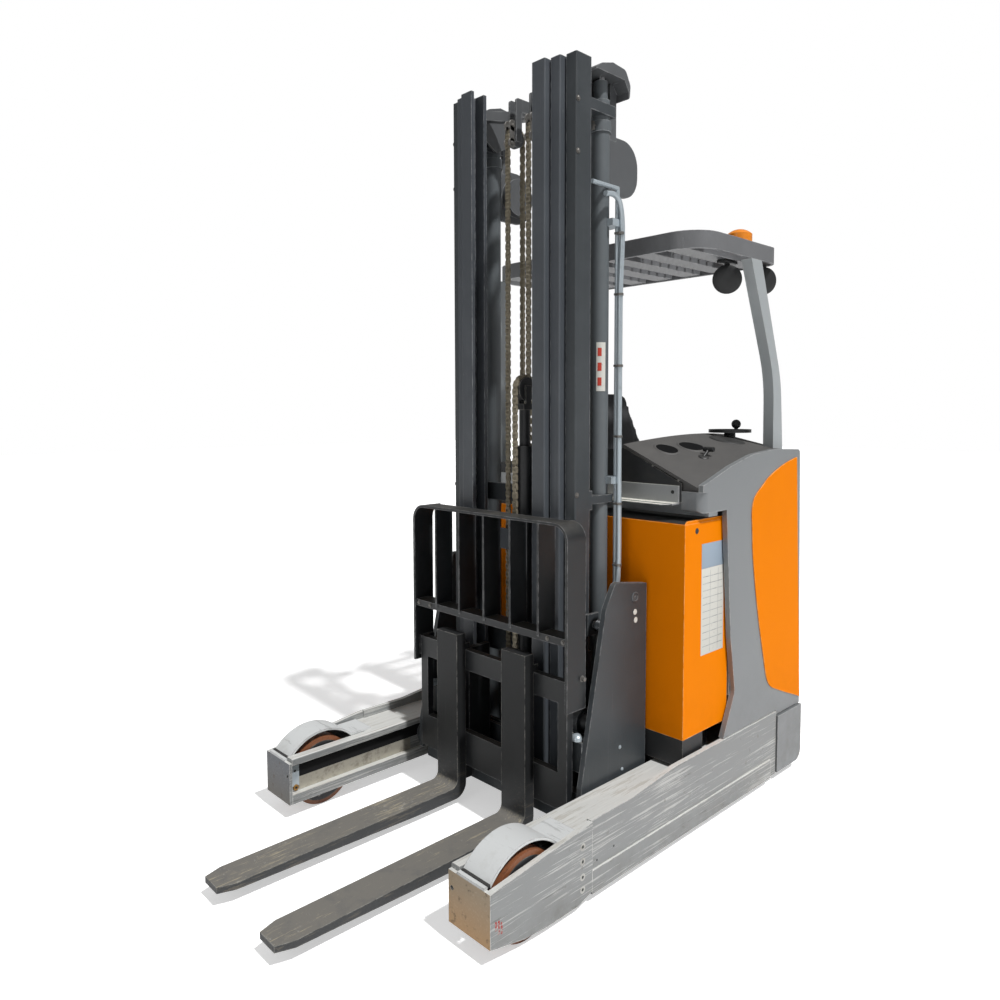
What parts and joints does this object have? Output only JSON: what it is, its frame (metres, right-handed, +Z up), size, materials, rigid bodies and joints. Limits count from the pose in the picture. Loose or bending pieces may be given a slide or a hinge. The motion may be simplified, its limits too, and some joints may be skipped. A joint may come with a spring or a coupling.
{
  "type": "reach truck",
  "caption": "Electric reach truck with triple telescopic mast on a reach carriage, tilting mast, overhead guard, battery box, sideways operator seat and two forks.",
  "frame": {"origin": "centre of the footprint, on the floor", "axes": "+X forward toward the fork tips, +Y left, +Z up"},
  "size_m": [2.28, 1.27, 2.781],
  "materials": {
    "body_grey": "satin",
    "panel_orange": "gloss",
    "mast_grey": "satin",
    "frame_grey": "satin",
    "dark_steel": "matte",
    "worn_steel": "matte",
    "chrome_rod": "polished",
    "shelf_aluminium": "satin",
    "wheel_polyurethane": "matte",
    "chain_steel": "matte",
    "dash_plastic": "matte",
    "control_plastic": "matte",
    "seat_vinyl": "matte",
    "beacon_amber": "gloss"
  },
  "bodies": {
    "chassis": {"arm_left": "frame_grey", "arm_right": "frame_grey", "arm_nose_left": "frame_grey", "arm_nose_right": "frame_grey", "load_wheel_fenders": "frame_grey", "chassis_frame": "dark_steel", "rear_skirt": "body_grey", "battery_box": "panel_orange", "battery_tray": "dark_steel", "body_shell": "body_grey", "cabin_floor": "dark_steel", "side_panel": "panel_orange", "rear_panel": "panel_orange", "dash_cover": "dash_plastic", "dash_front": "dark_steel", "dash_shelf": "shelf_aluminium", "seat_pedestal": "dark_steel", "drive_motor": "dark_steel", "seat_cushion": "seat_vinyl", "seat_backrest": "seat_vinyl", "seat_bracket": "dark_steel", "operator_controls": "control_plastic", "guard_roof": "mast_grey", "guard_pillars": "mast_grey", "beacon": "beacon_amber", "reach_barrel": "dark_steel"},
    "load_wheel_left": {"load_tyre_left": "wheel_polyurethane", "load_hub_left": "worn_steel"},
    "load_wheel_right": {"load_tyre_right": "wheel_polyurethane", "load_hub_right": "worn_steel"},
    "steer": {"steer_gearcase": "dark_steel"},
    "drive_wheel": {"drive_tyre": "wheel_polyurethane", "drive_hub": "worn_steel"},
    "reach_carriage": {"reach_carriage": "mast_grey", "reach_rod": "chrome_rod"},
    "mast_outer": {"mast_outer": "mast_grey", "lift_cylinders": "mast_grey", "mast_pipes": "dark_steel"},
    "tilt_barrels": {"tilt_barrels": "dark_steel"},
    "tilt_rods": {"tilt_rods": "chrome_rod"},
    "mast_middle": {"mast_middle": "mast_grey", "mast_head": "mast_grey", "lift_rods": "chrome_rod", "hose_cover": "dark_steel", "lift_chains": "chain_steel"},
    "mast_inner": {"mast_inner": "mast_grey", "free_lift_cylinder": "dark_steel"},
    "free_lift_head": {"free_lift_head": "chrome_rod", "carriage_chains": "chain_steel"},
    "fork_carriage": {"fork_carriage": "mast_grey", "load_backrest": "mast_grey", "forks": "worn_steel"}
  },
  "joints": [
    {"name": "load_wheel_left_spin", "type": "hinge", "parent": "chassis", "child": "load_wheel_left", "pos_m": [0.54, 0.554, 0.132], "axis": [0, 1, 0], "continuous": true},
    {"name": "load_wheel_right_spin", "type": "hinge", "parent": "chassis", "child": "load_wheel_right", "pos_m": [0.54, -0.554, 0.132], "axis": [0, 1, 0], "continuous": true},
    {"name": "steering", "type": "hinge", "parent": "chassis", "child": "steer", "pos_m": [-0.878, 0, 0.41], "axis": [0, 0, 1], "range_deg": [-90, 90]},
    {"name": "drive_wheel_spin", "type": "hinge", "parent": "steer", "child": "drive_wheel", "pos_m": [-0.878, 0, 0.18], "axis": [0, 1, 0], "continuous": true},
    {"name": "reach", "type": "slide", "parent": "chassis", "child": "reach_carriage", "axis": [1, 0, 0], "range_m": [0, 0.56]},
    {"name": "tilt", "type": "hinge", "parent": "reach_carriage", "child": "mast_outer", "pos_m": [-0.02, 0, 0.426], "axis": [0, 1, 0], "range_deg": [-3, 1]},
    {"name": "tilt_barrel_turn", "type": "hinge", "parent": "reach_carriage", "child": "tilt_barrels", "pos_m": [-0.245, 0, 0.76], "axis": [0, 1, 0], "range_deg": [-4, 4]},
    {"name": "tilt_rod_slide", "type": "slide", "parent": "tilt_barrels", "child": "tilt_rods", "axis": [1, 0, 0], "range_m": [-0.022, 0.008]},
    {"name": "lift_middle", "type": "slide", "parent": "mast_outer", "child": "mast_middle", "axis": [0, 0, 1], "range_m": [0, 1.95]},
    {"name": "lift_inner", "type": "slide", "parent": "mast_middle", "child": "mast_inner", "axis": [0, 0, 1], "range_m": [0, 1.95]},
    {"name": "carriage_lift", "type": "slide", "parent": "mast_inner", "child": "fork_carriage", "axis": [0, 0, 1], "range_m": [0, 1.75]},
    {"name": "free_lift", "type": "slide", "parent": "mast_inner", "child": "free_lift_head", "axis": [0, 0, 1], "range_m": [0, 0.875]}
  ],
  "couplings": [
    {"joint": "tilt_barrel_turn", "follows": "tilt", "ratio": -0.66},
    {"joint": "tilt_rod_slide", "follows": "tilt", "m_per_rad": 0.331},
    {"joint": "lift_inner", "follows": "lift_middle", "ratio": 1},
    {"joint": "free_lift", "follows": "carriage_lift", "ratio": 0.5}
  ]
}
